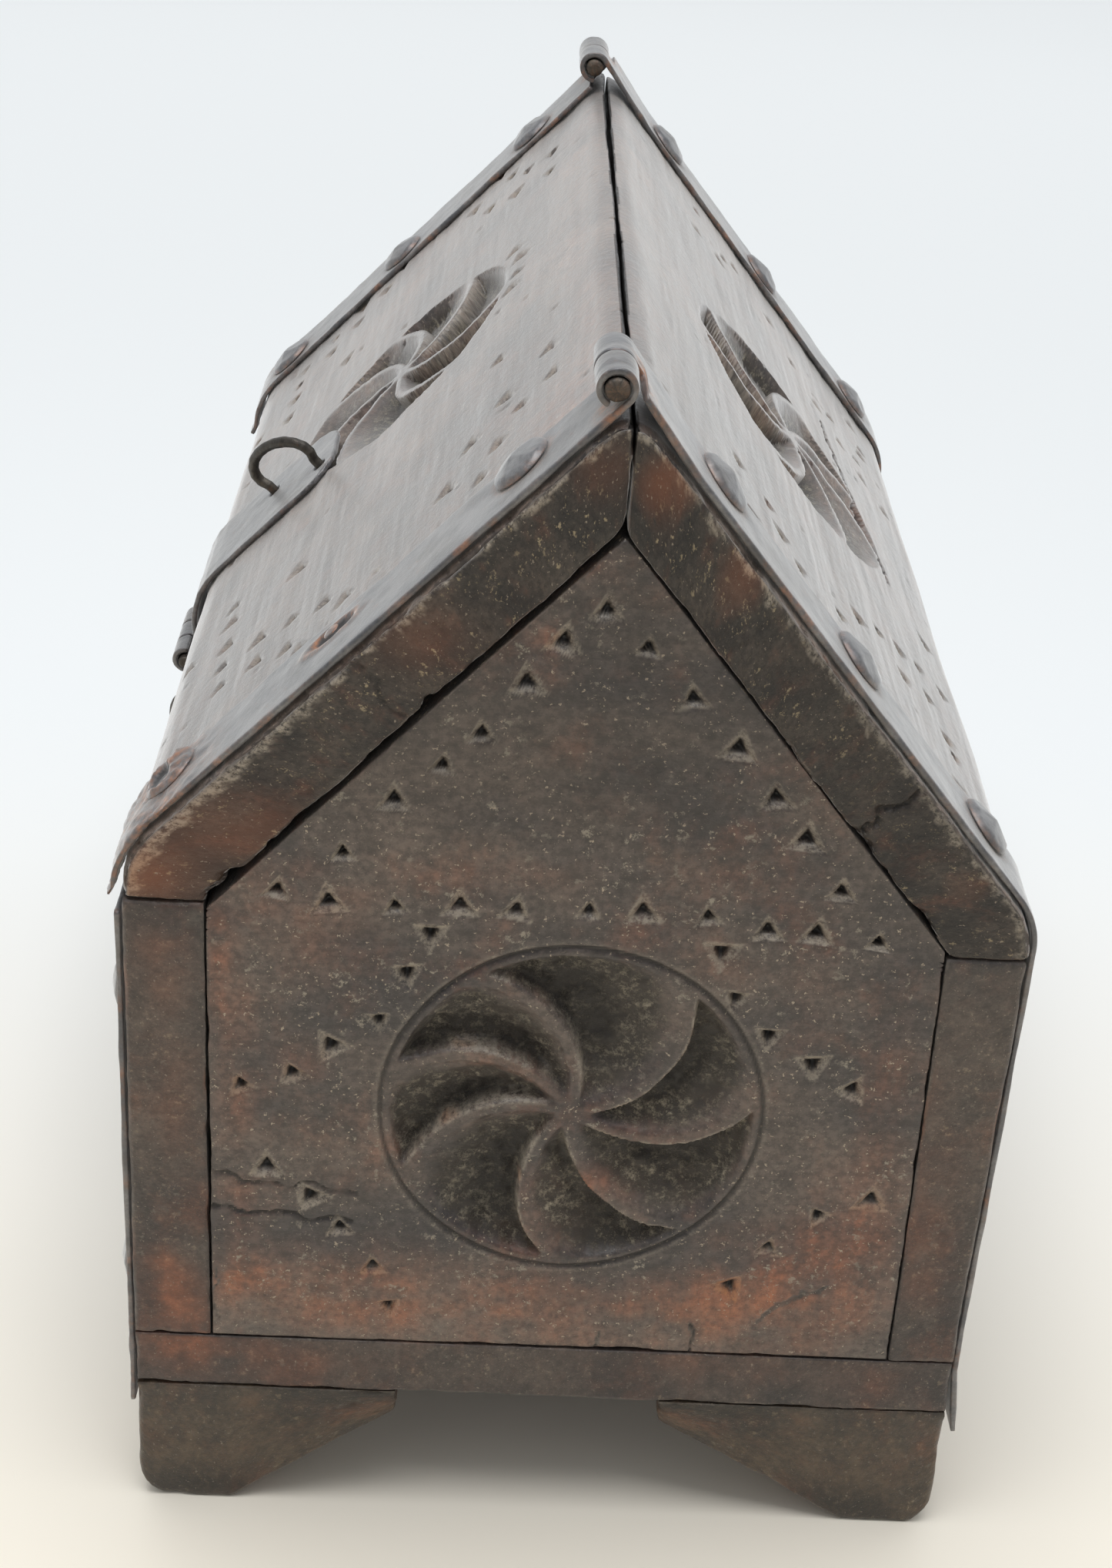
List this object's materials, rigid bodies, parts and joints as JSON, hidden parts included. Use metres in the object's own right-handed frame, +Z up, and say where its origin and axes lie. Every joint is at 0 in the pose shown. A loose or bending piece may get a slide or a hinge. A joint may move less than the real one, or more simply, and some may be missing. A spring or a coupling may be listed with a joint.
{
  "type": "gable-roofed storage box",
  "caption": "Hut-shaped carved wooden box with iron straps; the front roof slope is a lid that hinges at the ridge and closes with a hasp and staple.",
  "frame": {"origin": "on the floor, in the middle of the whole width, depth and hardware included", "axes": "+X along the ridge, +Y towards the fixed back slope, -Y towards the lid and hasp, +Z up"},
  "size_m": [0.2672, 0.1792, 0.2452],
  "materials": {
    "wood": "old dark hardwood, worn and waxed by handling, satin",
    "iron": "hand-forged wrought iron strip and nails, grey and lightly rusted"
  },
  "bodies": {
    "box": {"back_nail_left_1": "iron", "back_nail_left_2": "iron", "back_nail_right_1": "iron", "back_nail_right_2": "iron", "back_roof_board": "wood", "back_strap_left": "iron", "back_strap_right": "iron", "back_wall": "wood", "base_board": "wood", "foot_back_left": "wood", "foot_back_right": "wood", "foot_front_left": "wood", "foot_front_right": "wood", "front_nail_left_1": "iron", "front_nail_left_2": "iron", "front_nail_right_1": "iron", "front_nail_right_2": "iron", "front_strap_left": "iron", "front_strap_right": "iron", "front_wall": "wood", "gable_left": "wood", "gable_right": "wood", "hinge_pin_left": "iron", "hinge_pin_right": "iron", "roof_nail_left_1": "iron", "roof_nail_left_2": "iron", "roof_nail_left_3": "iron", "roof_nail_right_1": "iron", "roof_nail_right_2": "iron", "roof_nail_right_3": "iron", "wall_staple": "iron"},
    "lid": {"hasp_pin": "iron", "hasp_plate": "iron", "lid_board": "wood", "lid_loop": "iron", "lid_nail_left_1": "iron", "lid_nail_left_2": "iron", "lid_nail_left_3": "iron", "lid_nail_right_1": "iron", "lid_nail_right_2": "iron", "lid_nail_right_3": "iron", "lid_strap_left": "iron", "lid_strap_right": "iron"},
    "hasp": {"hasp_tongue": "iron"}
  },
  "joints": [
    {"name": "lid_hinge", "type": "hinge", "parent": "box", "child": "lid", "pos_m": [0, 0.00391, 0.24154], "axis": [-1, 0, 0], "range_deg": [0, 180]},
    {"name": "hasp_swing", "type": "hinge", "parent": "lid", "child": "hasp", "pos_m": [-0.001, -0.0838, 0.132], "axis": [-1, 0, 0], "range_deg": [0, 150]}
  ]
}
